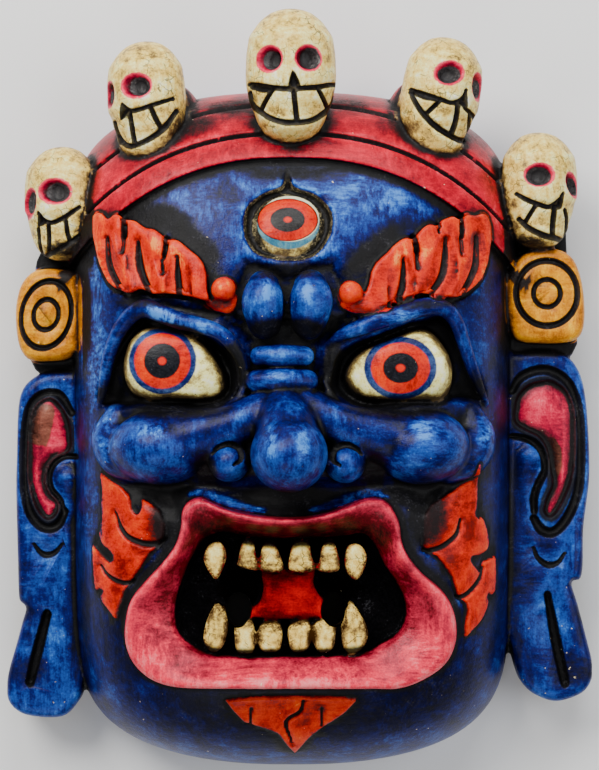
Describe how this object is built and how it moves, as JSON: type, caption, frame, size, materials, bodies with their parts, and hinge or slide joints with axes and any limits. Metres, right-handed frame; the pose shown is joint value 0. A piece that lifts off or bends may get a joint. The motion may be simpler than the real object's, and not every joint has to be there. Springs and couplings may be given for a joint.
{
  "type": "carved wooden festival mask",
  "caption": "Wrathful guardian's dance mask carved from one block: bulging eyes, flared open mouth with teeth, long ears and a crown of skulls; hollow behind.",
  "frame": {"origin": "middle of the mask's length and width, on the plane of the flat back rim that it lies on", "axes": "+Z out of the face, +Y towards the crown, +X to the viewer's right"},
  "size_m": [0.3161, 0.4026, 0.143],
  "materials": {
    "painted_wood": "hand-painted wood under a worn semi-gloss varnish: blue face, red crown band and mouth, bone-white skulls and teeth, dark grime in the carving"
  },
  "bodies": {
    "root": {"mask": "painted_wood"}
  },
  "joints": []
}
